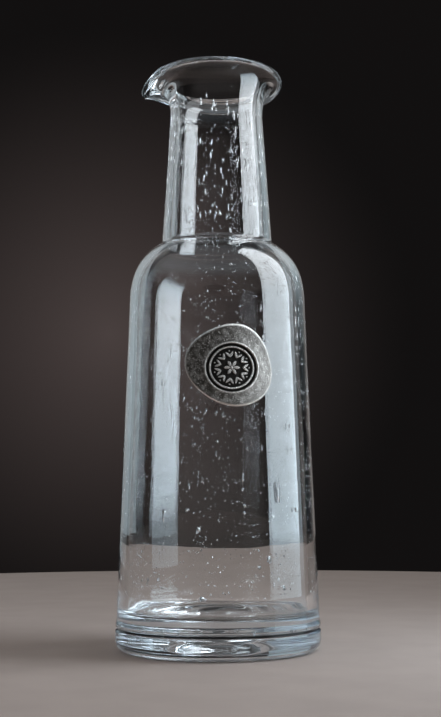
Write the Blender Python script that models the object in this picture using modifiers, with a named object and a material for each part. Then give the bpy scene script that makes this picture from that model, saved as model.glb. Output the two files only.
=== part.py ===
# Hand-blown glass decanter: blown body, applied foot, pewter seal and its adhesive bond.
# Metres, +Z up. The origin is on the table, on the axis. The seal faces -Y and the spout points to -X.
import math

import bpy
from mathutils import Vector
from mathutils.geometry import interpolate_bezier

# Foot, from the table up to the seam with the body
FOOT_PROUD = 0.0005
FOOT_CORNER = 0.0055
REST_RING_WIDTH = 0.0251
KICK_HEIGHT = 0.0065
KICK_FLATNESS = 4.0
KICK_STEEPNESS = 0.8
FOOT_WEB = 0.0025
DISH_DEPTH = 0.0024

# Body, from the seam up to the shoulder
BODY_BASE_RADIUS = 0.0501
BODY_LENGTH = 0.1648
SHOULDER_RADIUS = 0.0437
SHOULDER_ARC = 0.0298
WALL_BASE = 0.0048
WALL_SHOULDER = 0.0040
FLOOR_THICKNESS = 0.0088
FLOOR_FILLET = 0.0032
FLOOR_DISH = 0.0028

# Neck and flared lip
NECK_BASE_RADIUS = 0.0276
NECK_FILLET = 0.0030
NECK_LENGTH = 0.0630
NECK_TOP_RADIUS = 0.0233
WALL_NECK = 0.0030
LIP_REACH = 0.0088
LIP_RISE = 0.0190
WALL_LIP = 0.0038
LIP_TILT = 0.0090

# Pouring spout
SPOUT_REACH = 0.0050
SPOUT_DROP = 0.0064
SPOUT_HALF_ANGLE = math.radians(48)
SPOUT_GROOVE_ANGLE = math.radians(28)
SPOUT_LIFT = 0.6
SPOUT_LIFT_ANGLE = math.radians(70)

# Seal, placed by its middle below the shoulder
SEAL_DROP = 0.0405
SEAL_RADIUS = 0.0196
SEAL_THICKNESS = 0.0026
ROUNDEL_RADIUS = 0.0119
RING_RADIUS = 0.0097
ROUNDEL_DROP = 0.0007
RELIEF = 0.0010
SEAL_LUMPS = ((1, 0.037, 121), (2, 0.043, -64), (3, 0.036, -174), (4, 0.018, -66))

# Bond under the seal
BOND_RADIUS = 0.0165
BOND_THICKNESS = 0.0005

# Clearances between neighbours
JOIN_GAP = 0.0003
BOND_GAP = 0.0002

SEGMENTS = 48
SMOOTH_ANGLE = math.radians(40)

# Derived sizes and levels
FOOT_RADIUS = BODY_BASE_RADIUS + FOOT_PROUD
DISH_Z = KICK_HEIGHT + FOOT_WEB
SEAM_Z = DISH_Z + DISH_DEPTH
FLOOR_Z = DISH_Z + FLOOR_THICKNESS
SHOULDER_Z = SEAM_Z + BODY_LENGTH
BODY_TAPER = math.atan2(BODY_BASE_RADIUS - SHOULDER_RADIUS, BODY_LENGTH)
SEAL_Z = SHOULDER_Z - SEAL_DROP


def clear_scene():
    for obj in list(bpy.data.objects):
        bpy.data.objects.remove(obj, do_unlink=True)


def make_collection(name):
    collection = bpy.data.collections.new(name)
    bpy.context.scene.collection.children.link(collection)
    return collection


def make_material(name, colour, roughness, metallic=0.0, transmission=0.0):
    material = bpy.data.materials.new(name)
    material.use_nodes = True
    shader = material.node_tree.nodes["Principled BSDF"]
    shader.inputs["Base Color"].default_value = (*colour, 1.0)
    shader.inputs["Roughness"].default_value = roughness
    shader.inputs["Metallic"].default_value = metallic
    shader.inputs["Transmission Weight"].default_value = transmission
    return material


def arc(centre, radius, start, end, steps):
    points = []
    for i in range(steps + 1):
        angle = start + (end - start) * i / steps
        points.append((centre[0] + radius * math.cos(angle), centre[1] + radius * math.sin(angle)))
    return points


def wall_radius(z):
    # Outside radius of the conical body
    return BODY_BASE_RADIUS - (z - SEAM_Z) * math.tan(BODY_TAPER)


def turned(name, profile):
    # Profile from the axis, up the inside, down the outside, back to the axis
    mesh = bpy.data.meshes.new(name)
    points = [(r, 0.0, z) for r, z in profile]
    mesh.from_pydata(points, [(i, i + 1) for i in range(len(points) - 1)], [])
    obj = bpy.data.objects.new(name, mesh)
    screw = obj.modifiers.new("Turn", "SCREW")
    screw.axis = "Z"
    screw.angle = math.tau
    screw.steps = SEGMENTS
    screw.render_steps = SEGMENTS
    screw.use_merge_vertices = True
    screw.merge_threshold = 0.00001
    screw.use_smooth_shade = True
    return obj


def finish(obj, collection, material):
    # Realises the turned mesh, so that its vertices can be shaped
    bpy.context.scene.collection.objects.link(obj)
    graph = bpy.context.evaluated_depsgraph_get()
    mesh = bpy.data.meshes.new_from_object(obj.evaluated_get(graph))
    mesh.name = obj.name
    bpy.context.scene.collection.objects.unlink(obj)
    obj.modifiers.clear()
    obj.data = mesh
    mesh.materials.clear()
    mesh.materials.append(material)
    mesh.shade_smooth()
    mesh.set_sharp_from_angle(angle=SMOOTH_ANGLE)
    collection.objects.link(obj)
    return obj


def shape(obj, move):
    for vertex in obj.data.vertices:
        vertex.co = move(vertex.co)
    obj.data.update()


def shoulder_and_neck():
    # Shoulder arc tangent to the body, then a fillet tangent to the arc and to the neck
    taper = (math.cos(BODY_TAPER), math.sin(BODY_TAPER))
    centre = (SHOULDER_RADIUS - SHOULDER_ARC * taper[0], SHOULDER_Z - SHOULDER_ARC * taper[1])
    lean = math.atan2(NECK_BASE_RADIUS - NECK_TOP_RADIUS, NECK_LENGTH)
    fillet_r = NECK_BASE_RADIUS + NECK_FILLET * math.cos(lean)
    reach = SHOULDER_ARC + NECK_FILLET
    fillet_z = centre[1] + math.sqrt(reach**2 - (fillet_r - centre[0]) ** 2)
    meet = math.atan2(fillet_z - centre[1], fillet_r - centre[0])
    shoulder = arc(centre, SHOULDER_ARC, BODY_TAPER, meet, 8)
    fillet = arc((fillet_r, fillet_z), NECK_FILLET, math.pi + meet, math.pi + lean, 4)
    neck_top_z = fillet[-1][1] + NECK_LENGTH
    return shoulder, fillet, neck_top_z


def flare(neck_top_z):
    start = Vector((NECK_TOP_RADIUS, neck_top_z))
    end = start + Vector((LIP_REACH, LIP_RISE))
    knee = start + Vector((0.0, 0.62 * LIP_RISE))
    hip = end - Vector((0.62 * LIP_REACH, 0.12 * LIP_RISE))
    return [tuple(p) for p in interpolate_bezier(start, knee, hip, end, 8)]


def outside_wall():
    # Points of the outside from the seam to the lip, each with its wall thickness
    shoulder, fillet, neck_top_z = shoulder_and_neck()
    points = [(BODY_BASE_RADIUS, SEAM_Z, WALL_BASE)]
    middle_z = (SEAM_Z + SHOULDER_Z) / 2
    points.append((wall_radius(middle_z), middle_z, (WALL_BASE + WALL_SHOULDER) / 2))
    for r, z in shoulder:
        points.append((r, z, WALL_SHOULDER))
    for r, z in fillet[1:]:
        points.append((r, z, (WALL_SHOULDER + WALL_NECK) / 2))
    lip = flare(neck_top_z)
    for i, (r, z) in enumerate(lip):
        points.append((r, z, WALL_NECK + (WALL_LIP - WALL_NECK) * i / (len(lip) - 1)))
    return points, neck_top_z


def inside_wall(points):
    # The outside stepped inward along its normal
    inside = []
    for i, (r, z, wall) in enumerate(points):
        before = Vector(points[max(i - 1, 0)][:2])
        after = Vector(points[min(i + 1, len(points) - 1)][:2])
        along = (after - before).normalized()
        inside.append((r - along.y * wall, z + along.x * wall))
    return inside


def dished_floor(edge_r):
    # Floor that sinks gently to the middle, level where it meets the corner
    points = []
    for share in (0.0, 0.17, 0.34, 0.51, 0.68, 0.85):
        rise = share * share * (3.0 - 2.0 * share)
        points.append((share * edge_r, FLOOR_Z - FLOOR_DISH * (1.0 - rise)))
    return points


def body_profile():
    points, neck_top_z = outside_wall()
    inside = inside_wall(points)
    low, high = inside[0], inside[1]
    fillet_z = FLOOR_Z + FLOOR_FILLET
    side_r = low[0] + (high[0] - low[0]) * (fillet_z - low[1]) / (high[1] - low[1])
    corner = arc((side_r - FLOOR_FILLET, fillet_z), FLOOR_FILLET, -math.pi / 2, 0.0, 5)
    outer_lip = Vector(points[-1][:2])
    inner_lip = Vector(inside[-1])
    middle = (outer_lip + inner_lip) / 2
    half = inner_lip - middle
    turn = math.atan2(half.y, half.x)
    rim = arc(middle, half.length, turn, turn - math.pi, 6)
    outer = [(r, z) for r, z, wall in reversed(points)]
    dish = [(BODY_BASE_RADIUS - DISH_DEPTH, DISH_Z), (0.0, DISH_Z)]
    floor = dished_floor(corner[0][0])
    return floor + corner + inside[1:-1] + rim + outer[1:] + dish, neck_top_z


def foot_profile():
    # The dish follows the bottom of the body at the join clearance
    slope_gap = JOIN_GAP * math.tan(math.pi / 8)
    dish_r = BODY_BASE_RADIUS - DISH_DEPTH + slope_gap
    dish_z = DISH_Z - JOIN_GAP
    land_r = BODY_BASE_RADIUS + JOIN_GAP
    land_z = dish_z + land_r - dish_r
    corner_r = FOOT_RADIUS - FOOT_CORNER
    kick_r = corner_r - REST_RING_WIDTH
    kick = []
    for step in range(8):
        share = math.cos(math.pi / 2 * step / 8)
        kick.append((kick_r * share, KICK_HEIGHT * (1.0 - share**KICK_FLATNESS) ** KICK_STEEPNESS))
    side = arc((corner_r, FOOT_CORNER), FOOT_CORNER, 0.0, -math.pi / 2, 5)
    top = [(0.0, dish_z), (dish_r, dish_z), (land_r, land_z), (FOOT_RADIUS, land_z - JOIN_GAP)]
    return top + side + kick + [(0.0, KICK_HEIGHT)]


def shape_lip(neck_top_z):
    def move(co):
        reach = math.hypot(co.x, co.y)
        if co.z < neck_top_z or reach < NECK_TOP_RADIUS:
            return co
        flared = min((reach - NECK_TOP_RADIUS) / LIP_REACH, 1.0)
        away = math.atan2(co.y, -co.x)
        pull = SPOUT_REACH * flared**1.5 * math.exp(-((away / SPOUT_HALF_ANGLE) ** 2))
        drop = SPOUT_DROP * flared**1.5 * math.exp(-((away / SPOUT_GROOVE_ANGLE) ** 2))
        # The rim is highest at the front, falls towards the back, and is lifted beside the spout
        level = 1.0 - SPOUT_LIFT * math.exp(-((away / SPOUT_LIFT_ANGLE) ** 2))
        drop += LIP_TILT * flared**1.5 * level * ((1.0 + co.y / reach) / 2) ** 1.3
        grown = (reach + pull) / reach
        return Vector((co.x * grown, co.y * grown, co.z - drop))

    return move


def lumpy(angle):
    # Uneven edge of the poured pewter
    return 1.0 + sum(size * math.cos(n * angle - math.radians(lag)) for n, size, lag in SEAL_LUMPS)


def wrap_on_wall(standoff, round_within, drop=0.0):
    # A flat lump about the origin, laid on the wall at the seal; its middle stays round and can sit low
    def move(co):
        reach = math.hypot(co.x, co.y)
        angle = math.atan2(co.y, co.x)
        uneven = max(0.0, min((reach - round_within) / (SEAL_RADIUS - round_within), 1.0))
        grown = reach * (1.0 + uneven * (lumpy(angle) - 1.0))
        u = grown * math.cos(angle)
        v = grown * math.sin(angle) - drop * (1.0 - uneven)
        z = SEAL_Z + v
        around = u / wall_radius(SEAL_Z)
        out = wall_radius(z) + standoff + co.z
        return Vector((out * math.sin(around), -out * math.cos(around), z))

    return move


def seal_profile():
    top = SEAL_THICKNESS
    edge = top / 2
    field = top - RELIEF
    ring_half = (ROUNDEL_RADIUS - RING_RADIUS) / 4
    slope = ring_half * 0.6
    points = [(0.0, field), (RING_RADIUS - ring_half - slope, field)]
    points += [(RING_RADIUS - ring_half, top - RELIEF * 0.3), (RING_RADIUS + ring_half, top - RELIEF * 0.3)]
    points += [(RING_RADIUS + ring_half + slope, field), (ROUNDEL_RADIUS - slope, field)]
    points += [(ROUNDEL_RADIUS, top), ((ROUNDEL_RADIUS + SEAL_RADIUS) / 2, top)]
    points += arc((SEAL_RADIUS - edge, edge), edge, math.pi / 2, -math.pi / 2, 6)
    back = ((SEAL_RADIUS - edge) * step / 4 for step in (3, 2, 1, 0))
    return points + [(r, 0.0) for r in back]


def bond_profile():
    across = [BOND_RADIUS * step / 4 for step in range(5)]
    return [(r, BOND_THICKNESS) for r in across] + [(r, 0.0) for r in reversed(across)]


clear_scene()
parts = make_collection("decanter")
body_glass = make_material("body_glass", (0.93, 0.97, 0.98), 0.02, transmission=1.0)
foot_glass = make_material("foot_glass", (0.92, 0.96, 0.98), 0.02, transmission=1.0)
pewter = make_material("pewter", (0.23, 0.23, 0.22), 0.42, metallic=1.0)
adhesive = make_material("adhesive", (0.86, 0.86, 0.82), 0.35)

profile, lip_start_z = body_profile()
body = finish(turned("blown_body", profile), parts, body_glass)
shape(body, shape_lip(lip_start_z))

foot = finish(turned("applied_foot", foot_profile()), parts, foot_glass)

bond = finish(turned("adhesive_bond", bond_profile()), parts, adhesive)
shape(bond, wrap_on_wall(BOND_GAP, 0.0))

seal = finish(turned("pewter_seal", seal_profile()), parts, pewter)
shape(seal, wrap_on_wall(2 * BOND_GAP + BOND_THICKNESS, ROUNDEL_RADIUS, ROUNDEL_DROP))
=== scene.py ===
import math
import random
from bisect import bisect

import bmesh
import bpy
from mathutils import Matrix, Vector, noise
from mathutils.geometry import interpolate_bezier


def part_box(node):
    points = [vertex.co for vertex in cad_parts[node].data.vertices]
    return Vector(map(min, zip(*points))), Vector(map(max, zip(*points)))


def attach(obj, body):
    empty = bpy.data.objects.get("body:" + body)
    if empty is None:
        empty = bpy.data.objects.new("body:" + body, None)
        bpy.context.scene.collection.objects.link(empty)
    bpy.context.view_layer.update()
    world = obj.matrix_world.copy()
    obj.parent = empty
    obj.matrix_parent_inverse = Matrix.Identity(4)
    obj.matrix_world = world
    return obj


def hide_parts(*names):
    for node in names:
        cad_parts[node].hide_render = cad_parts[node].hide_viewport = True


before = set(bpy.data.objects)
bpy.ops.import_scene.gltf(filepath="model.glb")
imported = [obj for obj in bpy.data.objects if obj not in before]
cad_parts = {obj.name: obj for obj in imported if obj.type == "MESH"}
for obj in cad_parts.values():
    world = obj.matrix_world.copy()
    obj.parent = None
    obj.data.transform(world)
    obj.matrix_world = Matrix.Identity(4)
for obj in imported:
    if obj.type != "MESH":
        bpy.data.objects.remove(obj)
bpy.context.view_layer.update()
_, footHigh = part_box("applied_foot")
_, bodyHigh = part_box("blown_body")
print("frame loaded:", ", ".join(sorted(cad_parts)))


# Shape helpers
def arcPoints(centre, radius, start, end, count):
    points = []
    for i in range(count + 1):
        angle = start + (end - start) * i / count
        points.append(Vector((centre[0] + radius * math.cos(angle), centre[1] + radius * math.sin(angle))))
    return points


def linePoints(start, end, count, ease=1.0):
    return [Vector(start).lerp(Vector(end), (i / count) ** ease) for i in range(count + 1)]


def smoothStep(low, high, value):
    t = max(0.0, min((value - low) / (high - low), 1.0))
    return t * t * (3 - 2 * t)


def easeAlong(table, place):
    level = table[0][1]
    for (start, low), (end, high) in zip(table[:-1], table[1:]):
        level += (high - low) * smoothStep(start, end, place)
    return level


def bell(offset, half):
    return math.exp(-((offset / half) ** 2))


def cloudAt(co, across, upward=0.0, shift=(0.0, 0.0, 0.0)):
    place = (co.x * across + shift[0], co.y * across + shift[1], co.z * upward + shift[2])
    return noise.noise(Vector(place))


def spinProfile(bm, points, steps):
    verts = [bm.verts.new((p.x, 0.0, p.y)) for p in points]
    edges = [bm.edges.new(pair) for pair in zip(verts[:-1], verts[1:])]
    bmesh.ops.spin(
        bm, geom=verts + edges, cent=(0, 0, 0), axis=(0, 0, 1), angle=math.tau, steps=steps, use_merge=True
    )
    bmesh.ops.remove_doubles(bm, verts=bm.verts, dist=0.000002)  # closes the poles on the axis
    bmesh.ops.recalc_face_normals(bm, faces=bm.faces)


def makePiece(name, bm, material):
    mesh = bpy.data.meshes.new(name)
    bm.to_mesh(mesh)
    bm.free()
    mesh.materials.append(material)
    mesh.shade_smooth()
    piece = bpy.data.objects.new(name, mesh)
    bpy.context.scene.collection.objects.link(piece)
    print(name, "has", sum(len(p.vertices) - 2 for p in mesh.polygons), "triangles")
    return piece


# Node helpers
def addNode(tree, kind, **values):
    node = tree.nodes.new(kind)
    for key, value in values.items():
        if key in node.inputs:
            node.inputs[key].default_value = value
        else:
            setattr(node, key, value)
    return node


def newMaterial(name):
    material = bpy.data.materials.new(name)
    material.use_nodes = True
    tree = material.node_tree
    tree.nodes.clear()
    shader = tree.nodes.new("ShaderNodeBsdfPrincipled")
    output = tree.nodes.new("ShaderNodeOutputMaterial")
    tree.links.new(shader.outputs["BSDF"], output.inputs["Surface"])
    return material, tree, shader


def makeMottleGroup():
    group = bpy.data.node_groups.new("mottle", "ShaderNodeTree")
    sockets = (("Scale", 100.0), ("Detail", 4.0), ("Low", 0.4), ("High", 0.6))
    for name, value in sockets:
        socket = group.interface.new_socket(name, in_out="INPUT", socket_type="NodeSocketFloat")
        socket.default_value = value
    group.interface.new_socket("Mask", in_out="OUTPUT", socket_type="NodeSocketFloat")
    group.interface.new_socket("Height", in_out="OUTPUT", socket_type="NodeSocketFloat")
    start = group.nodes.new("NodeGroupInput")
    end = group.nodes.new("NodeGroupOutput")
    place = group.nodes.new("ShaderNodeTexCoord")
    cloud = group.nodes.new("ShaderNodeTexNoise")
    spread = group.nodes.new("ShaderNodeMapRange")
    spread.interpolation_type = "SMOOTHSTEP"
    link = group.links.new
    link(place.outputs["Object"], cloud.inputs["Vector"])
    link(start.outputs["Scale"], cloud.inputs["Scale"])
    link(start.outputs["Detail"], cloud.inputs["Detail"])
    link(cloud.outputs["Fac"], spread.inputs["Value"])
    link(start.outputs["Low"], spread.inputs["From Min"])
    link(start.outputs["High"], spread.inputs["From Max"])
    link(spread.outputs["Result"], end.inputs["Mask"])
    link(cloud.outputs["Fac"], end.inputs["Height"])
    return group


mottleGroup = makeMottleGroup()


def addMottle(tree, scale, detail, low, high):
    node = tree.nodes.new("ShaderNodeGroup")
    node.node_tree = mottleGroup
    for name, value in (("Scale", scale), ("Detail", detail), ("Low", low), ("High", high)):
        node.inputs[name].default_value = value
    return node


def calculate(tree, operation, *values, clamp=False):
    node = addNode(tree, "ShaderNodeMath", operation=operation, use_clamp=clamp)
    for socket, value in zip(node.inputs, values):
        if isinstance(value, float):
            socket.default_value = value
        else:
            tree.links.new(value, socket)
    return node.outputs["Value"]


def mapRange(tree, value, low, high, first=0.0, last=1.0, kind="SMOOTHSTEP"):
    node = addNode(tree, "ShaderNodeMapRange", interpolation_type=kind)
    for name, number in (("From Min", low), ("From Max", high), ("To Min", first), ("To Max", last)):
        node.inputs[name].default_value = number
    tree.links.new(value, node.inputs["Value"])
    return node.outputs["Result"]


def blendColours(tree, factor, first, second):
    node = addNode(tree, "ShaderNodeMix", data_type="RGBA")
    tree.links.new(factor, node.inputs["Factor"])
    sockets = [socket for socket in node.inputs if socket.type == "RGBA"]
    for socket, colour in zip(sockets, (first, second)):
        if isinstance(colour, tuple):
            socket.default_value = colour
        else:
            tree.links.new(colour, socket)
    return next(socket for socket in node.outputs if socket.type == "RGBA")


def rampColours(tree, factor, first, last):
    ramp = tree.nodes.new("ShaderNodeValToRGB")
    ramp.color_ramp.elements[0].color = first
    ramp.color_ramp.elements[1].color = last
    tree.links.new(factor, ramp.inputs["Fac"])
    return ramp.outputs["Color"]


def addBump(tree, height, strength, distance):
    node = addNode(tree, "ShaderNodeBump", Strength=strength, Distance=distance)
    tree.links.new(height, node.inputs["Height"])
    return node.outputs["Normal"]


def meshValue(tree, name):
    return addNode(tree, "ShaderNodeAttribute", attribute_name=name).outputs["Fac"]


# Blown glass vessel, body and foot in one melt
vessel = {
    "steps": 160,
    "segments": {  # along each stretch of the profile
        "body": 56,
        "shoulder": 28,
        "fillet": 8,
        "neck": 16,
        "flare": 22,
        "rim": 12,
        "floor": 44,
        "floorCorner": 14,
        "footSide": 5,
        "footCorner": 12,
        "rest": 6,
        "kick": 32,
    },
    "bodyEase": 1.5,  # crowds the body's rings towards the foot
    "floorEase": 0.6,  # and the floor's towards its edge
    "footRadius": footHigh.x,
    "footCorner": 0.0055,
    "footCornerGap": 0.0003,  # between the side and the arc of the corner
    "footEdge": ((0.0001, 0.0015), (0.0, 0.0020)),  # eased top of the foot: inwards, and below the seam
    "restRing": 0.0251,
    "kickHeight": 0.0065,
    "kickShape": (4.0, 0.8),  # flatness of its top and steepness of its sides
    "kickGap": 0.0008,  # between the flat ring and the kick
    "pontilRadius": 0.0042,
    "pontilWidth": 0.0009,
    "pontilHeight": 0.0008,
    "pontilUneven": 0.0004,
    "tornWidth": 0.002,
    "kickUneven": 0.00010,
    "kickGrain": 230,
    "kickFade": 0.002,  # height over the table where the unevenness is full
    "seamZ": 0.0114,
    "groove": 0.0010,
    "grooveLine": (  # share of the groove's depth, and distance below the seam
        (0.6, 0.0),
        (1.0, 0.0004),
        (0.6, 0.0008),
        (-0.2, 0.0012),
    ),
    # painted shade and dirt: a band just under the seam turns the glass near black
    "seamShadeAndDirt": (0.0003, 0.0005, 0.0009),  # below the seam, half height of the full painted shade and dirt, and where it ends
    "seamShadeAndDirtDepth": 0.002,
    "collar": 0.0004,
    "collarLine": (  # soft fold over the foot: share of the collar, and height above the seam
        (0.0, 0.0034),
        (0.3, 0.0028),
        (0.85, 0.0022),
        (1.0, 0.0015),
        (0.8, 0.0008),
        (0.3, 0.0003),
    ),
    "collarTop": 0.0040,  # the plain wall starts here above the seam
    "bodyRadius": bodyHigh.y,
    "shoulderRadius": 0.0437,
    "shoulderZ": 0.1762,
    "shoulderArc": 0.0298,
    "shoulderEase": (0.012, 0.011, 0.019),  # start below the arc, and the two handles of the curve
    "neckBase": 0.0276,
    "neckFillet": 0.0026,
    "neckLength": 0.063,
    "neckTop": 0.0233,
    "neckTopZ": 0.2661,
    "lipReach": 0.0088,
    "lipRise": 0.0190,
    "lipHandles": (0.62, 0.62, 0.12),  # up from the neck, then back and down from the rim, as shares
    "lipTilt": 0.0090,
    "lipTiltShape": 1.3,
    "lipShape": 1.5,  # how late the flare follows the spout and the tilt
    "spoutLift": 0.6,
    "spoutLiftAngle": math.radians(70),
    "spoutReach": 0.0050,
    "spoutDrop": 0.0064,
    "spoutHalfAngle": math.radians(48),
    "spoutGrooveAngle": math.radians(28),
    "walls": (  # height and wall thickness
        (0.0130, 0.0058),
        (0.0300, 0.0048),
        (0.0600, 0.0040),
        (0.1760, 0.0040),
        (0.2050, 0.0034),
        (0.2400, 0.0030),
        (0.2680, 0.0030),
        (0.2840, 0.0038),
    ),
    "floorZ": 0.0178,
    "floorFillet": 0.0032,
    "floorJoin": (0.0004, 0.0001),  # gap between the fillet and the wall's first ring, up and outwards
    "floorDish": 0.0028,
    "floorMargin": 0.009,  # from the outside of the body to the even part of the floor
    "floorRings": (0.00012, 0.0065),  # depth and distance of the rings left by the mould's cold bottom
    "ringsFrom": (0.012, 0.030),  # radius where they start, and where they are full
    "ringDrift": (0.0022, 45),  # size and scale
    "wobbleOut": 0.00004,
    "wobbleIn": 0.00006,
    "wobbleShift": 1.7,  # keeps the two sides of the wall from wobbling alike
    "wobbleSlow": (38, 20),  # scale around and upwards
    "wobbleQuick": (110, 45),
    "quickShare": 0.3,
    "chillRipple": 0.00010,
    "chillScale": (24, 430),
    "chillBelow": (0.060, 0.020),  # height where the ripple starts, and where it is full
    "look": {
        # painted shade and dirt: colour of the band under the seam
        "seamShadeAndDirtColour": (0.0003, 0.0003, 0.0004, 1.0),
        "bending": 1.5,
        "marks": (55.0, 3.0, 0.62, 0.80),  # scale, detail, and where the mask starts and is full
        "markDullness": 0.03,
        "ripple": (70.0, 1.0, 0.3, 0.7),
        "rippleBump": (0.03, 0.001),
        "tint": (0.76, 0.87, 0.95, 1.0),
        "tintDensity": 6.0,
    },
}


def outsideLine(v):
    count = v["segments"]
    taper = math.atan2(v["bodyRadius"] - v["shoulderRadius"], v["shoulderZ"] - v["seamZ"])
    up = Vector((-math.sin(taper), math.cos(taper)))
    centre = Vector((v["shoulderRadius"], v["shoulderZ"])) - v["shoulderArc"] * Vector((up.y, -up.x))
    lean = math.atan2(v["neckBase"] - v["neckTop"], v["neckLength"])
    filletR = v["neckBase"] + v["neckFillet"] * math.cos(lean)
    reach = v["shoulderArc"] + v["neckFillet"]
    filletZ = centre.y + math.sqrt(reach**2 - (filletR - centre.x) ** 2)
    meet = math.atan2(filletZ - centre.y, filletR - centre.x)
    below, firstHandle, lastHandle = v["shoulderEase"]
    bodyEnd = Vector((v["shoulderRadius"], v["shoulderZ"])) - below * up
    body = linePoints((v["bodyRadius"], v["seamZ"]), bodyEnd, count["body"], v["bodyEase"])
    shoulderEnd = centre + v["shoulderArc"] * Vector((math.cos(meet), math.sin(meet)))
    tangent = Vector((-math.sin(meet), math.cos(meet)))
    shoulder = interpolate_bezier(
        bodyEnd,
        bodyEnd + firstHandle * up,
        shoulderEnd - lastHandle * tangent,
        shoulderEnd,
        count["shoulder"],
    )
    fillet = arcPoints((filletR, filletZ), v["neckFillet"], math.pi + meet, math.pi + lean, count["fillet"])
    neckTop = Vector((v["neckTop"], v["neckTopZ"]))
    neck = linePoints(fillet[-1], neckTop, count["neck"])
    lip = neckTop + Vector((v["lipReach"], v["lipRise"]))
    kneeRise, hipReach, hipRise = v["lipHandles"]
    knee = neckTop + Vector((0.0, kneeRise * v["lipRise"]))
    hip = lip - Vector((hipReach * v["lipReach"], hipRise * v["lipRise"]))
    flare = interpolate_bezier(neckTop, knee, hip, lip, count["flare"])
    return body + [Vector(p) for p in shoulder[1:]] + fillet[1:] + neck[1:] + [Vector(p) for p in flare[1:]]


def insideLine(v, outside):
    points = []
    for i, p in enumerate(outside):
        along = (outside[min(i + 1, len(outside) - 1)] - outside[max(i - 1, 0)]).normalized()
        thick = easeAlong(v["walls"], p.y)
        points.append(Vector((p.x - along.y * thick, p.y + along.x * thick)))
    return points


def vesselLines(v):
    count = v["segments"]
    outside = outsideLine(v)
    filletTop = v["floorZ"] + v["floorFillet"]
    upGap, outGap = v["floorJoin"]
    wall = [p for p in insideLine(v, outside) if p.y > filletTop + upGap]
    side = wall[0].x + outGap
    centre = (side - v["floorFillet"], filletTop)
    corner = arcPoints(centre, v["floorFillet"], -math.pi / 2, 0.0, count["floorCorner"])
    floor = linePoints((0.0, v["floorZ"]), corner[0], count["floor"], v["floorEase"])
    for p in floor:  # sinks gently to the middle
        p.y -= v["floorDish"] * smoothStep(1.0, 0.0, p.x / corner[0].x)
    return outside, floor + corner[1:] + wall


def kickRadius(v):
    return v["footRadius"] - v["footCorner"] - v["restRing"]


def kickLine(v):
    kickR, count = kickRadius(v), v["segments"]["kick"]
    flatness, steepness = v["kickShape"]
    kick = []
    for i in range(count + 1):  # hollow with steep sides and the scar of the pontil rod in its middle
        x = kickR * math.cos(math.pi / 2 * i / count)
        bowl = v["kickHeight"] * max(0.0, 1 - (x / kickR) ** flatness) ** steepness
        scar = v["pontilHeight"] * bell(x - v["pontilRadius"], v["pontilWidth"])
        kick.append(Vector((x, bowl - scar)))
    return kick


def vesselProfile(v):
    count = v["segments"]
    outside, inside = vesselLines(v)
    outerLip, innerLip = outside[-1], inside[-1]
    middle = (outerLip + innerLip) / 2
    half = innerLip - middle
    turn = math.atan2(half.y, half.x)
    rim = arcPoints(middle, half.length, turn, turn - math.pi, count["rim"])
    r, seam = v["bodyRadius"], v["seamZ"]
    down = [p for p in reversed(outside) if p.y > seam + v["collarTop"]]
    collar = [Vector((r + v["collar"] * out, seam + up)) for out, up in v["collarLine"]]
    groove = [Vector((r - v["groove"] * deep, seam - below)) for deep, below in v["grooveLine"]]
    edge = [Vector((v["footRadius"] - inwards, seam - below)) for inwards, below in v["footEdge"]]
    sideEnd = (v["footRadius"], v["footCorner"] + v["footCornerGap"])
    side = linePoints(edge[-1], sideEnd, count["footSide"])
    centre = (v["footRadius"] - v["footCorner"], v["footCorner"])
    corner = arcPoints(centre, v["footCorner"], 0.0, -math.pi / 2, count["footCorner"])
    rest = linePoints(corner[-1], (kickRadius(v) + v["kickGap"], 0.0), count["rest"])
    foot = edge[:-1] + side + corner + rest[1:] + kickLine(v)
    return inside[:-1] + rim + down[1:] + collar + groove + foot


def radiusTable(line):
    return [p.y for p in line], [p.x for p in line]


def radiusAt(table, z):
    heights, radii = table
    i = min(max(bisect(heights, z), 1), len(heights) - 1)
    share = (z - heights[i - 1]) / max(heights[i] - heights[i - 1], 0.000001)  # a step may be level
    return radii[i - 1] + (radii[i] - radii[i - 1]) * min(max(share, 0.0), 1.0)


def shapeLip(v, co):
    reach = math.hypot(co.x, co.y)
    if co.z < v["neckTopZ"] or reach < v["neckTop"]:
        return co
    flared = min((reach - v["neckTop"]) / v["lipReach"], 1.0) ** v["lipShape"]
    away = math.atan2(co.y, -co.x)
    pull = v["spoutReach"] * flared * bell(away, v["spoutHalfAngle"])
    drop = v["spoutDrop"] * flared * bell(away, v["spoutGrooveAngle"])
    level = 1 - v["spoutLift"] * bell(away, v["spoutLiftAngle"])
    tilt = ((1 + co.y / reach) / 2) ** v["lipTiltShape"]  # lowest at the back
    drop += v["lipTilt"] * flared * level * tilt
    grown = (reach + pull) / reach
    return Vector((co.x * grown, co.y * grown, co.z - drop))


def kickRise(v, co, reach):
    torn = bell(reach - v["pontilRadius"], v["tornWidth"])  # where the rod broke off
    uneven = cloudAt(co, v["kickGrain"], shift=(0.0, 0.0, 2.0))
    return (v["kickUneven"] + v["pontilUneven"] * torn) * uneven * smoothStep(0.0, v["kickFade"], co.z)


def floorRise(v, co, reach):
    depth, apart = v["floorRings"]
    size, scale = v["ringDrift"]
    drift = size * cloudAt(co, scale, shift=(0.0, 0.0, 8.0))
    return depth * smoothStep(*v["ringsFrom"], reach) * math.sin(2 * math.pi * (reach + drift) / apart)


def wallPush(v, co, innerSide):
    size = v["wobbleIn"] if innerSide else v["wobbleOut"]
    shift = v["wobbleShift"] if innerSide else 0.0
    slow = cloudAt(co, *v["wobbleSlow"], shift=(shift, 0.0, 0.0))
    quick = cloudAt(co, *v["wobbleQuick"], shift=(0.0, shift, 0.0))
    push = size * (slow + v["quickShare"] * quick)
    if innerSide:  # rings where the hot wall met the cool tool
        chill = v["chillRipple"] * smoothStep(*v["chillBelow"], co.z)
        push += chill * cloudAt(co, *v["chillScale"])
    return push


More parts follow.
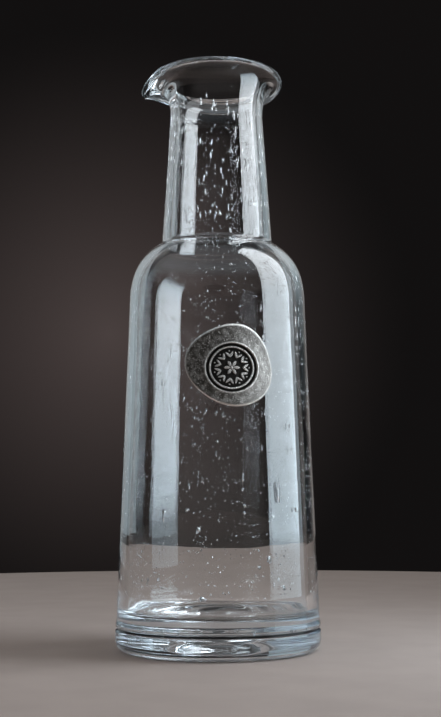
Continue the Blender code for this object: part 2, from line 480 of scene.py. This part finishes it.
def blowVessel(v):
    bm = bmesh.new()
    spinProfile(bm, vesselProfile(v), v["steps"])
    inside = radiusTable(vesselLines(v)[1])
    kickTop = v["kickHeight"] + 0.001
    axisGap, ringTop = 0.001, 0.004  # the pole and the rest ring stay true
    insideBand = 0.0008  # less than half of the thinnest wall
    floorEdge = v["bodyRadius"] - v["floorMargin"]
    shadeAndDirtBelow, shadeAndDirtFull, shadeAndDirtEnd = v["seamShadeAndDirt"]
    seam = bm.verts.layers.float.new("seam")
    for vert in bm.verts:
        co = vert.co.copy()
        reach = math.hypot(co.x, co.y)
        # painted shade and dirt: marks the glass in a band under the seam
        if reach > v["bodyRadius"] - v["seamShadeAndDirtDepth"]:
            vert[seam] = smoothStep(shadeAndDirtEnd, shadeAndDirtFull, abs(co.z - v["seamZ"] + shadeAndDirtBelow))
        if co.z < kickTop and reach < kickRadius(v):
            co.z += kickRise(v, co, reach)
        elif abs(co.z - v["floorZ"] + v["floorDish"] / 2) < v["floorDish"] and reach < floorEdge:
            co.z += floorRise(v, co, reach)
        elif reach > axisGap and co.z > ringTop:  # slow unevenness of hand-worked glass
            grown = 1 + wallPush(v, co, reach < radiusAt(inside, co.z) + insideBand) / reach
            co = Vector((co.x * grown, co.y * grown, co.z))
        vert.co = shapeLip(v, co)
    return bm


# Air seeds trapped in the wall: hollows in the glass
seeds = {
    "seed": 11,
    "zones": (  # lowest and highest place, count, half width, stretch, lean, and depth in the wall
        (0.2070, 0.2710, 230, (0.00027, 0.00044), (3.2, 6.5), 0.12, (0.3, 0.7)),
        (0.2060, 0.2780, 240, (0.00016, 0.00032), (1.0, 2.0), 0.30, (0.3, 0.7)),
        (0.1760, 0.2060, 420, (0.00018, 0.00036), (1.0, 2.4), 0.60, (0.3, 0.7)),
        (0.0800, 0.1780, 1150, (0.00020, 0.00040), (1.0, 2.4), 0.30, (0.3, 0.7)),
        (0.0800, 0.1820, 90, (0.00034, 0.00052), (2.0, 5.0), 0.15, (0.3, 0.7)),
        (0.0280, 0.0850, 760, (0.00020, 0.00042), (1.0, 1.8), 0.50, (0.3, 0.7)),
        (0.0240, 0.0800, 18, (0.00060, 0.00095), (1.0, 1.6), 0.40, (0.3, 0.7)),
        (0.0124, 0.0136, 64, (0.00036, 0.00062), (1.0, 1.4), 0.30, (0.972, 0.984)),
    ),
    "placed": (  # degrees from the camera, height and half width in millimetres, and stretch
        (-30, 143.0, 0.55, 5.0),
        (-32, 139.5, 0.45, 3.5),
        (-35, 122.5, 0.50, 4.0),
        (-36, 128.5, 0.75, 2.6),
        (67, 166.0, 0.50, 4.0),
        (66, 160.0, 0.60, 4.5),
        (68, 153.5, 0.50, 3.0),
        (66, 147.0, 0.45, 3.0),
        (-9, 28.5, 1.15, 1.0),
        (30, 46.0, 1.10, 1.5),
        (-11, 60.0, 1.00, 1.6),
        (38, 77.0, 0.95, 5.6),
        (-33, 66.0, 0.55, 5.0),
        (-56, 76.0, 0.50, 4.0),
        (-13, 272.0, 0.45, 2.6),
        (-4, 268.0, 0.55, 3.4),
        (-6, 265.5, 0.50, 3.0),
        (-1, 264.8, 0.50, 2.2),
        (15, 266.0, 0.40, 2.0),
    ),
    "most": 0.22,  # half width of a seed, as a share of the wall
    "mostPlaced": 0.36,
    "flatness": 0.8,
    "fineBelow": 0.00042,
    "batch": 40,
}
cameraTurn = -8.1  # degrees from the front, towards the spout


def wallPlace(lines, z, around, depth):
    outside, inside = lines
    outer, inner = radiusAt(outside, z), radiusAt(inside, z)
    r = inner + (outer - inner) * depth
    step = 0.001
    slope = math.atan2(radiusAt(outside, z + step) - radiusAt(outside, z - step), 2 * step)
    turn = Matrix.Rotation(around, 4, "Z") @ Matrix.Rotation(slope, 4, "Y")
    place = Matrix.Translation((r * math.cos(around), r * math.sin(around), z))
    return place @ turn, outer - inner


def addSeed(bm, s, place, size, stretch):
    grow = place @ Matrix.Diagonal((size * s["flatness"], size, size * stretch, 1.0))
    if size < s["fineBelow"]:
        bmesh.ops.create_icosphere(bm, subdivisions=1, radius=1.0, matrix=grow)
    else:
        bmesh.ops.create_uvsphere(bm, u_segments=8, v_segments=5, radius=1.0, matrix=grow)


def pourInto(bm, batch):
    mesh = bpy.data.meshes.new("batch")
    batch.to_mesh(mesh)
    batch.free()
    bm.from_mesh(mesh)
    bpy.data.meshes.remove(mesh)


def scatterSeeds(bm, v, s):
    rng = random.Random(s["seed"])
    lines = [radiusTable(line) for line in vesselLines(v)]
    hollows = []
    for low, high, count, sizes, stretches, slant, depths in s["zones"]:
        for _ in range(count):
            z = rng.uniform(low, high)
            depth = rng.uniform(*depths)
            place, wall = wallPlace(lines, z, rng.uniform(0, math.tau), depth)
            place.translation = shapeLip(v, place.translation.copy())
            size = min(rng.uniform(*sizes), s["most"] * wall)
            lean = Matrix.Rotation(rng.gauss(0.0, slant), 4, "X")
            hollows.append((place @ lean, size, rng.uniform(*stretches)))
    for turn, height, half, stretch in s["placed"]:
        around = math.radians(cameraTurn + turn - 90)
        place, wall = wallPlace(lines, height / 1000, around, 0.5)
        place.translation = shapeLip(v, place.translation.copy())
        hollows.append((place, min(half / 1000, s["mostPlaced"] * wall), stretch))
    for first in range(0, len(hollows), s["batch"]):  # small batches keep the operators quick
        batch = bmesh.new()
        for place, size, stretch in hollows[first:first + s["batch"]]:
            addSeed(batch, s, place, size, stretch)
        bmesh.ops.reverse_faces(batch, faces=batch.faces)  # the air side is outside the glass
        pourInto(bm, batch)
    print(len(hollows), "seeds in the wall")


def glassMaterial(look):
    material, tree, shader = newMaterial("seeded_glass")
    link = tree.links.new
    # painted shade and dirt: the band under the seam is coloured near black
    shadedAndDirty = blendColours(tree, meshValue(tree, "seam"), (1.0, 1.0, 1.0, 1.0), look["seamShadeAndDirtColour"])
    link(shadedAndDirty, shader.inputs["Base Color"])
    shader.inputs["Transmission Weight"].default_value = 1.0
    shader.inputs["IOR"].default_value = look["bending"]
    marks = addMottle(tree, *look["marks"])  # faint handling marks
    dull = calculate(tree, "MULTIPLY", marks.outputs["Mask"], look["markDullness"])
    link(dull, shader.inputs["Roughness"])
    ripple = addMottle(tree, *look["ripple"])
    link(addBump(tree, ripple.outputs["Height"], *look["rippleBump"]), shader.inputs["Normal"])
    tint = addNode(tree, "ShaderNodeVolumeAbsorption", Color=look["tint"], Density=look["tintDensity"])
    link(tint.outputs["Volume"], tree.nodes["Material Output"].inputs["Volume"])
    return material


glassBody = blowVessel(vessel)
scatterSeeds(glassBody, vessel, seeds)
glassPiece = makePiece("glass_vessel", glassBody, glassMaterial(vessel["look"]))
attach(glassPiece, "root")
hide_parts("blown_body", "applied_foot")


# Cast pewter seal, bent to the tapering wall
seal = {
    "steps": 240,
    "rings": (96, 14, 16),  # over the face, round the edge and over the back
    "centreZ": 0.1357,
    "radius": 0.0196,
    "thickness": 0.0026,
    "standoff": 0.0009,
    "roundel": 0.0119,
    "field": 0.0086,
    "middle": -0.0007,  # the roundel sits a little low
    "section": (  # radius and height of the face, in millimetres
        (0.0, 1.50),
        (8.60, 1.50),
        (9.00, 1.30),
        (9.45, 2.30),
        (9.95, 2.30),
        (10.40, 1.35),
        (11.10, 1.35),
        (11.65, 2.85),
        (12.40, 2.62),
        (15.60, 2.45),
        (18.30, 2.60),
    ),
    "faceFrom": (0.0002, 0.0011),  # heights between the plain back and the cast face
    "crests": (0.0097, 0.0117),
    "crestHalf": 0.00035,
    "rimWear": (0.0012, 0.0003),  # inwards from the edge, where the wear starts and is full
    "wear": (0.7, 0.8),  # of the ornament and of the crests
    "sunkBelow": (1.50, 2.10),
    "sunkEdge": 0.0004,
    "lumps": ((1, 0.037, 121), (2, 0.043, -64), (3, 0.036, -174), (4, 0.018, -66)),
    "petals": 6,
    "petalEnds": (0.0006, 0.0036),
    "petalHalf": 0.00085,
    "bossRadius": 0.0008,
    "leaves": 11,
    "leafRadius": 0.0062,
    "leafAside": 0.00075,
    "leafHalf": (0.00165, 0.00062),
    "leafTurn": math.radians(36),
    "leafTaper": 0.7,
    "leafRib": (0.00018, 0.3),  # half width and depth of the middle groove
    "berry": (0.0017, 0.00048, 0.8),  # distance beyond the leaves, radius, and share of the relief
    "domeShape": 0.6,
    "relief": 0.00075,
    "castGrain": (0.00005, 260),  # height and scale
    "castWaves": (0.00016, 90),
    "wavesFull": 0.0160,
    "look": {
        "cloud": (420.0, 8.0, 0.40, 0.70),  # scale, detail, and where the mask starts and is full
        "cloudShare": 0.20,
        "specks": (1500.0, 3.0, 0.57, 0.70),
        "speckShare": 0.60,
        "keySideLight": (-0.006, 0.021, 0.0, 0.34),  # painted light: lighter on the side away from the spout, where the key panel shines
        "dark": (0.075, 0.068, 0.060, 1.0),
        "bright": (0.95, 0.905, 0.86, 1.0),
        "grime": (0.030, 0.028, 0.026, 1.0),
        "roughness": (0.40, 0.20),
        "grain": (2200.0, 4.0, 0.35, 0.75),
        "grainBump": (1.0, 0.0005),
    },
}


def wallRadius(z):
    v = vessel
    rise, taper = z - v["seamZ"], v["bodyRadius"] - v["shoulderRadius"]
    return v["bodyRadius"] - rise * taper / (v["shoulderZ"] - v["seamZ"])


def wrapOnWall(u, height, out):
    z = seal["centreZ"] + height
    around = u / wallRadius(seal["centreZ"])
    reach = wallRadius(z) + out
    return Vector((reach * math.sin(around), -reach * math.cos(around), z))


def sealProfile(s):
    faceRings, edgeRings, backRings = s["rings"]
    line = linePoints((0.0, 0.0), (s["radius"] - s["thickness"] / 2, 0.0), faceRings)
    top = [Vector((p.x, easeAlong(s["section"], p.x * 1000) / 1000)) for p in line]
    edgeX, edgeHalf = line[-1].x, top[-1].y / 2
    edge = arcPoints((edgeX, edgeHalf), edgeHalf, math.pi / 2, -math.pi / 2, edgeRings)
    back = linePoints((edgeX, 0.0), (0.0, 0.0), backRings)
    return top[:-1] + edge + back[1:]


def leafDome(s, along, across, length, width):
    share = along / length
    if abs(share) >= 1.0:
        return 0.0
    half = width * (1 - share * share) ** s["leafTaper"]
    if abs(across) >= half:
        return 0.0
    ribHalf, ribDepth = s["leafRib"]
    return (1 - (across / half) ** 2) ** s["domeShape"] * (1 - ribDepth * bell(across, ribHalf))


def inSector(angle, count):
    sector = math.tau / count
    return sector, (angle + sector / 2) % sector - sector / 2


def ornament(s, r, angle):
    _, off = inSector(angle, s["petals"])
    first, last = s["petalEnds"]
    along = r * math.cos(off) - (first + last) / 2
    lift = leafDome(s, along, r * math.sin(off), (last - first) / 2, s["petalHalf"])
    lift = max(lift, max(0.0, 1 - (r / s["bossRadius"]) ** 2) ** s["domeShape"])
    sector, off = inSector(angle, s["leaves"])
    berryOut, berryRadius, berryLift = s["berry"]
    for turn in (off - sector, off, off + sector):  # a pair of leaves in each sector, and a berry above
        x, y = r * math.cos(turn) - s["leafRadius"], r * math.sin(turn)
        for side in (-1, 1):
            lean = side * s["leafTurn"]
            aside = y - side * s["leafAside"]
            along = x * math.cos(lean) + aside * math.sin(lean)
            across = aside * math.cos(lean) - x * math.sin(lean)
            lift = max(lift, leafDome(s, along, across, *s["leafHalf"]))
        berry = ((x - berryOut) ** 2 + y * y) / berryRadius**2
        lift = max(lift, berryLift * max(0.0, 1 - berry) ** s["domeShape"])
    return s["relief"] * lift


def lumpy(s, angle):
    return 1.0 + sum(size * math.cos(n * angle - math.radians(lag)) for n, size, lag in s["lumps"])


def castSeal(s):
    bm = bmesh.new()
    spinProfile(bm, sealProfile(s), s["steps"])
    rubbed = bm.verts.layers.float.new("rubbed")
    sunk = bm.verts.layers.float.new("sunk")
    grain, grainScale = s["castGrain"]
    waves, waveScale = s["castWaves"]
    rimStart, rimFull = (s["radius"] - inwards for inwards in s["rimWear"])
    ornamentWear, crestWear = s["wear"]
    sunkLow, sunkTop = s["sunkBelow"]
    for vert in bm.verts:
        r = math.hypot(vert.co.x, vert.co.y)
        angle = math.atan2(vert.co.y, vert.co.x)
        high = vert.co.z
        face = smoothStep(*s["faceFrom"], high)
        lift = ornament(s, r, angle) * face if r < s["field"] else 0.0
        fine = grain * cloudAt(vert.co, grainScale, shift=(0.0, 0.0, 3.1))
        slow = waves * cloudAt(vert.co, waveScale, shift=(0.0, 0.0, 7.7))
        rough = (fine + slow * smoothStep(s["roundel"], s["wavesFull"], r)) * face
        outer = smoothStep(s["roundel"], s["radius"], r)
        grown = r * (1 + outer * (lumpy(s, angle) - 1))
        crest = sum(bell(r - place, s["crestHalf"]) for place in s["crests"])
        rim = smoothStep(rimStart, rimFull, r) * face
        vert[rubbed] = min(1.0, max(ornamentWear * lift / s["relief"], crestWear * crest, rim))
        inMiddle = smoothStep(s["roundel"], s["roundel"] - s["sunkEdge"], r) * face
        vert[sunk] = inMiddle * smoothStep(sunkTop, sunkLow, (high + lift) * 1000)
        u, height = grown * math.cos(angle), grown * math.sin(angle)
        height += s["middle"] * (1 - outer)
        vert.co = wrapOnWall(u, height, s["standoff"] + high + lift + rough)
    return bm


def pewterMaterial(look):
    material, tree, shader = newMaterial("aged_pewter")
    shader.inputs["Metallic"].default_value = 1.0
    link = tree.links.new
    cloud = addMottle(tree, *look["cloud"])
    specks = addMottle(tree, *look["specks"])
    grain = addMottle(tree, *look["grain"])
    rubbed = meshValue(tree, "rubbed")
    patch = calculate(tree, "MULTIPLY_ADD", cloud.outputs["Mask"], look["cloudShare"], rubbed)
    place = tree.nodes.new("ShaderNodeTexCoord")
    parts = tree.nodes.new("ShaderNodeSeparateXYZ")
    link(place.outputs["Object"], parts.inputs["Vector"])
    # painted light: the metal turns lighter towards the key-lit side, added to the real wear
    keySideLight = mapRange(tree, parts.outputs["X"], *look["keySideLight"])
    wearAndKeySideLight = calculate(tree, "ADD", keySideLight, patch)
    blend = calculate(tree, "MULTIPLY_ADD", specks.outputs["Mask"], look["speckShare"], wearAndKeySideLight, clamp=True)
    metal = rampColours(tree, blend, look["dark"], look["bright"])
    link(blendColours(tree, meshValue(tree, "sunk"), metal, look["grime"]), shader.inputs["Base Color"])
    link(mapRange(tree, blend, 0.0, 1.0, *look["roughness"], kind="LINEAR"), shader.inputs["Roughness"])
    link(addBump(tree, grain.outputs["Height"], *look["grainBump"]), shader.inputs["Normal"])
    return material


sealPiece = makePiece("cast_seal", castSeal(seal), pewterMaterial(seal["look"]))
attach(sealPiece, "root")
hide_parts("pewter_seal")


# Adhesive pad between the wall and the seal
pad = {
    "steps": 96,
    "rings": (12, 6),  # over a face and round the edge
    "radius": 0.0165,
    "back": -0.00004,  # wetted into the wall
    "front": 0.00088,
    "squeeze": (0.05, 2.2),  # share of the radius, and scale around the edge
    "look": {
        "cloud": (240.0, 4.0, 0.35, 0.75),
        "dark": (0.42, 0.42, 0.39, 1.0),
        "pale": (0.68, 0.68, 0.63, 1.0),
        "roughness": 0.35,
    },
}


def spreadAdhesive(p, s):
    bm = bmesh.new()
    faceRings, edgeRings = p["rings"]
    across = linePoints((0.0, p["front"]), (p["radius"], p["front"]), faceRings)
    middle, half = (p["front"] + p["back"]) / 2, (p["front"] - p["back"]) / 2
    edge = arcPoints((p["radius"], middle), half, math.pi / 2, -math.pi / 2, edgeRings)
    under = linePoints((p["radius"], p["back"]), (0.0, p["back"]), faceRings)
    spinProfile(bm, across[:-1] + edge + under[1:], p["steps"])
    size, scale = p["squeeze"]
    for vert in bm.verts:
        r = math.hypot(vert.co.x, vert.co.y)
        angle = math.atan2(vert.co.y, vert.co.x)
        squeeze = 1 + size * noise.noise(Vector((scale * math.cos(angle), scale * math.sin(angle), 5.0)))
        grown = r * (1 + (lumpy(s, angle) * squeeze - 1) * r / p["radius"])
        vert.co = wrapOnWall(grown * math.cos(angle), grown * math.sin(angle), vert.co.z)
    return bm


def adhesiveMaterial(look):
    material, tree, shader = newMaterial("cured_adhesive")
    cloud = addMottle(tree, *look["cloud"])
    colour = rampColours(tree, cloud.outputs["Mask"], look["dark"], look["pale"])
    tree.links.new(colour, shader.inputs["Base Color"])
    shader.inputs["Roughness"].default_value = look["roughness"]
    return material


padPiece = makePiece("adhesive_pad", spreadAdhesive(pad, seal), adhesiveMaterial(pad["look"]))
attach(padPiece, "root")
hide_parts("adhesive_bond")


# Plain floor that ends behind the vessel, as a table top does
table = {
    "radius": 0.60,
    "air": 0.0003,  # gap under the rest ring, so that the glass stays in air
    "colour": (0.305, 0.252, 0.228, 1.0),
    "shade": 0.92,
    "cloud": (30.0, 8.0, 0.3, 0.7),
    "roughness": 0.8,
}


def layFloor(t):
    bm = bmesh.new()
    below = Matrix.Translation((0, 0, -t["air"]))
    bmesh.ops.create_circle(bm, cap_ends=True, segments=128, radius=t["radius"], matrix=below)
    material, tree, shader = newMaterial("pale_floor")
    cloud = addMottle(tree, *t["cloud"])
    shaded = tuple(c * t["shade"] for c in t["colour"][:3]) + (1.0,)
    colour = rampColours(tree, cloud.outputs["Mask"], shaded, t["colour"])
    tree.links.new(colour, shader.inputs["Base Color"])
    shader.inputs["Roughness"].default_value = t["roughness"]
    floor = makePiece("floor", bm, material)


layFloor(table)


# A tall soft panel close on the right, two dim ones behind, and a dark room with a pale ceiling
studio = {
    "panels": {
        "key_panel": {
            "turn": 90, "away": 0.28, "shift": -0.030, "wide": 0.254, "low": 0.0, "high": 0.95,
            "glow": 7.8, "lowColour": (0.60, 0.72, 0.80), "highColour": (0.87, 0.93, 0.98),
            "dimTo": 0.024, "fullFrom": 0.056, "evenFrom": 0.34, "least": 0.34, "farSide": 0.68,
            "mirrored": 0.42, "throughGlass": 3.5, "straight": 0.005,
        },
        "left_back_panel": {
            "turn": -147, "away": 1.1, "shift": 0.0, "wide": 0.61, "low": 0.0, "high": 1.0,
            "glow": 0.39, "lowColour": (0.78, 0.93, 1.0), "highColour": (0.88, 0.96, 1.0),
            "dimTo": 0.02, "fullFrom": 0.24, "evenFrom": 0.60, "least": 0.65,
        },
        "right_back_panel": {
            "turn": 147, "away": 1.1, "shift": 0.0, "wide": 0.61, "low": 0.20, "high": 1.0,
            "glow": 0.50, "lowColour": (0.78, 0.93, 1.0), "highColour": (0.88, 0.96, 1.0),
            "dimTo": 0.28, "fullFrom": 0.54, "evenFrom": 0.60, "least": 0.05,
        },
    },
    "room": (0.0060, 0.0053, 0.0053, 1.0),
    "backdrop": (0.066, 0.051, 0.049, 1.0),
    "backdropTurn": (-4.6, 6.3),  # where the backdrop is lightest: degrees to the right and up
    "backdropSpread": 13.0,
    "backdropFall": 1.6,
    "frontGlow": (0.17, 0.158, 0.153, 1.0),  # lit room behind the camera
    "frontFrom": (0.25, 0.75),
    "frontHeight": (0.05, 0.20),
    "ceiling": (0.46, 0.53, 0.58, 1.0),
    "ceilingFrom": (0.36, 0.62),  # height of a direction where the ceiling starts and is full
    "ceilingOver": (-0.4, 0.2),  # from behind the vessel to over the camera
    "ceilingBehind": 0.2,
    "overhead": (0.12, 0.112, 0.108, 1.0),  # steeply above, seen through the glass
    "overheadFrom": (0.60, 0.85),
    "mirroredInside": (0.34, 0.31, 0.295, 1.0),  # straight behind, mirrored by the vessel's own floor
    "mirroredFrom": (-0.985, -0.93),
    "fill": (0.56, 0.535, 0.52, 1.0),
    "fillThroughGlass": 0.35,
}


def panelColour(tree, p, height):
    spread = mapRange(tree, height, 0.0, p["evenFrom"], kind="LINEAR")
    ramp = tree.nodes.new("ShaderNodeValToRGB")
    stops = ramp.color_ramp.elements
    stops[0].position = p["dimTo"] / p["evenFrom"]
    stops[0].color = tuple(c * p["least"] for c in p["lowColour"]) + (1.0,)
    stops[1].color = p["highColour"] + (1.0,)
    full = stops.new(p["fullFrom"] / p["evenFrom"])
    full.color = p["lowColour"] + (1.0,)
    tree.links.new(spread, ramp.inputs["Fac"])
    return ramp.outputs["Color"]


def straightRays(tree, rays):
    mirrored, passed = rays.outputs["Glossy Depth"], rays.outputs["Transmission Depth"]
    turns = calculate(tree, "MULTIPLY_ADD", mirrored, 10.0, passed)  # a mirroring outweighs all passes
    unbent = calculate(tree, "LESS_THAN", turns, 4.5)  # in and out of two plain walls
    return calculate(tree, "MULTIPLY", unbent, rays.outputs["Is Transmission Ray"])


def panelMaterial(name, p):
    material, tree, shader = newMaterial(name)
    link = tree.links.new
    shader.inputs["Base Color"].default_value = (0.0, 0.0, 0.0, 1.0)
    shader.inputs["Specular IOR Level"].default_value = 0.0
    place = tree.nodes.new("ShaderNodeTexCoord")
    parts = tree.nodes.new("ShaderNodeSeparateXYZ")
    link(place.outputs["Object"], parts.inputs["Vector"])
    link(panelColour(tree, p, parts.outputs["Z"]), shader.inputs["Emission Color"])
    across = addNode(tree, "ShaderNodeVectorMath", operation="DOT_PRODUCT")
    turn = math.radians(cameraTurn + p["turn"])
    across.inputs[1].default_value = (math.cos(turn), math.sin(turn), 0.0)
    link(place.outputs["Object"], across.inputs[0])
    near, far = p["shift"] - p["wide"] / 2, p["shift"] + p["wide"] / 2
    dimmed = p["glow"] * p.get("farSide", 1.0)
    strength = mapRange(tree, across.outputs["Value"], near, far, p["glow"], dimmed, kind="LINEAR")
    rays = tree.nodes.new("ShaderNodeLightPath")
    glimpses = {
        "mirrored": rays.outputs["Is Glossy Ray"],
        "throughGlass": rays.outputs["Is Transmission Ray"],
        "straight": straightRays(tree, rays),
    }
    for share, ray in glimpses.items():
        seen = mapRange(tree, ray, 0.0, 1.0, 1.0, p.get(share, 1.0), kind="LINEAR")
        strength = calculate(tree, "MULTIPLY", strength, seen)
    link(strength, shader.inputs["Emission Strength"])
    return material


def hangPanel(name, p):
    turn = Matrix.Rotation(math.radians(cameraTurn + p["turn"]), 4, "Z")
    place = turn @ Matrix.Translation((p["shift"], -p["away"], (p["low"] + p["high"]) / 2))
    size = Matrix.Diagonal((p["wide"], p["high"] - p["low"], 1.0, 1.0))
    bm = bmesh.new()
    upright = place @ Matrix.Rotation(math.pi / 2, 4, "X") @ size
    bmesh.ops.create_grid(bm, x_segments=1, y_segments=1, size=0.5, matrix=upright)
    panel = makePiece(name, bm, panelMaterial(name, p))
    panel.visible_camera = False


for panelName, panelSetting in studio["panels"].items():
    hangPanel(panelName, panelSetting)


def paintRoom(s):
    world = bpy.data.worlds.new("room")
    bpy.context.scene.world = world
    world.use_nodes = True
    tree = world.node_tree
    tree.nodes.clear()
    link = tree.links.new
    output = tree.nodes.new("ShaderNodeOutputWorld")
    place = tree.nodes.new("ShaderNodeTexCoord")
    parts = tree.nodes.new("ShaderNodeSeparateXYZ")
    rays = tree.nodes.new("ShaderNodeLightPath")
    link(place.outputs["Generated"], parts.inputs["Vector"])
    up = parts.outputs["Z"]
    through = rays.outputs["Is Transmission Ray"]

    def facing(direction):
        node = addNode(tree, "ShaderNodeVectorMath", operation="DOT_PRODUCT")
        node.inputs[1].default_value = direction
        link(place.outputs["Generated"], node.inputs[0])
        return node.outputs["Value"]

    # Wall behind, lightest in one place
    right, rise = (math.radians(angle) for angle in s["backdropTurn"])
    turn = math.radians(cameraTurn) - right
    lightest = (-math.sin(turn) * math.cos(rise), math.cos(turn) * math.cos(rise), math.sin(rise))
    apart = calculate(tree, "ARCCOSINE", facing(lightest))
    near = mapRange(tree, apart, 0.0, math.radians(s["backdropSpread"]), 1.0, 0.0, kind="LINEAR")
    soft = calculate(tree, "POWER", near, s["backdropFall"])
    wallColour = blendColours(tree, soft, s["room"], s["backdrop"])

    # Lit room behind the camera, and the ceiling over it
    turn = math.radians(cameraTurn)
    front = facing((math.sin(turn), -math.cos(turn), 0.0))
    lowPart = mapRange(tree, up, *s["frontHeight"], 1.0, 0.0)
    ahead = calculate(tree, "MULTIPLY", mapRange(tree, front, *s["frontFrom"]), lowPart)
    lowColour = blendColours(tree, ahead, wallColour, s["frontGlow"])
    overFront = mapRange(tree, front, *s["ceilingOver"], s["ceilingBehind"], 1.0)
    glow = calculate(tree, "MULTIPLY", mapRange(tree, up, *s["ceilingFrom"]), overFront)
    mirrored = blendColours(tree, glow, lowColour, s["ceiling"])

    # What the glass refracts is darker above, and paler behind after a mirroring
    above = blendColours(tree, mapRange(tree, up, *s["overheadFrom"]), s["ceiling"], s["overhead"])
    bounced = calculate(tree, "GREATER_THAN", rays.outputs["Glossy Depth"], 0.5)
    behind = mapRange(tree, front, *s["mirroredFrom"], 1.0, 0.0)
    inside = calculate(tree, "MULTIPLY", bounced, behind)
    lowColour = blendColours(tree, inside, lowColour, s["mirroredInside"])
    refracted = blendColours(tree, glow, lowColour, above)
    seen = tree.nodes.new("ShaderNodeBackground")
    link(blendColours(tree, through, mirrored, refracted), seen.inputs["Color"])

    # Even light for matt surfaces
    fill = addNode(tree, "ShaderNodeBackground", Color=s["fill"])
    link(mapRange(tree, through, 0.0, 1.0, 1.0, s["fillThroughGlass"]), fill.inputs["Strength"])
    visible = calculate(tree, "MAXIMUM", rays.outputs["Is Camera Ray"], rays.outputs["Is Glossy Ray"])
    visible = calculate(tree, "MAXIMUM", visible, through)
    direct = calculate(tree, "LESS_THAN", rays.outputs["Diffuse Depth"], 0.5)  # not yet off a matt surface
    mix = tree.nodes.new("ShaderNodeMixShader")
    link(calculate(tree, "MULTIPLY", visible, direct), mix.inputs["Fac"])
    link(fill.outputs["Background"], mix.inputs[1])
    link(seen.outputs["Background"], mix.inputs[2])
    link(mix.outputs["Shader"], output.inputs["Surface"])


paintRoom(studio)
print("studio lit by", len(studio["panels"]), "panels")


# Camera at the photograph's angle: metres, degrees and millimetres of lens
view = {
    "away": 0.6705,
    "height": 0.082,
    "pitch": 5.25,
    "yaw": -0.137,
    "roll": -0.19,
    "lens": 67.43,
    "sensor": 36.0,
}


def placeCamera(v):
    data = bpy.data.cameras.new("camera")
    data.lens = v["lens"]
    data.sensor_width = v["sensor"]
    camera = bpy.data.objects.new("camera", data)
    bpy.context.scene.collection.objects.link(camera)
    turn = math.radians(cameraTurn)
    camera.location = (v["away"] * math.sin(turn), -v["away"] * math.cos(turn), v["height"])
    pan = Matrix.Rotation(turn + math.radians(v["yaw"]), 3, "Z")
    tilt = Matrix.Rotation(math.radians(90 + v["pitch"]), 3, "X")
    roll = Matrix.Rotation(math.radians(v["roll"]), 3, "Z")
    camera.rotation_euler = (pan @ tilt @ roll).to_euler()
    bpy.context.scene.camera = camera


placeCamera(view)
scene = bpy.context.scene
scene.view_settings.view_transform = "Standard"
scene.cycles.max_bounces = 32  # light passes many walls and seeds
scene.cycles.transmission_bounces = 32
scene.cycles.glossy_bounces = 16

print("scene built")
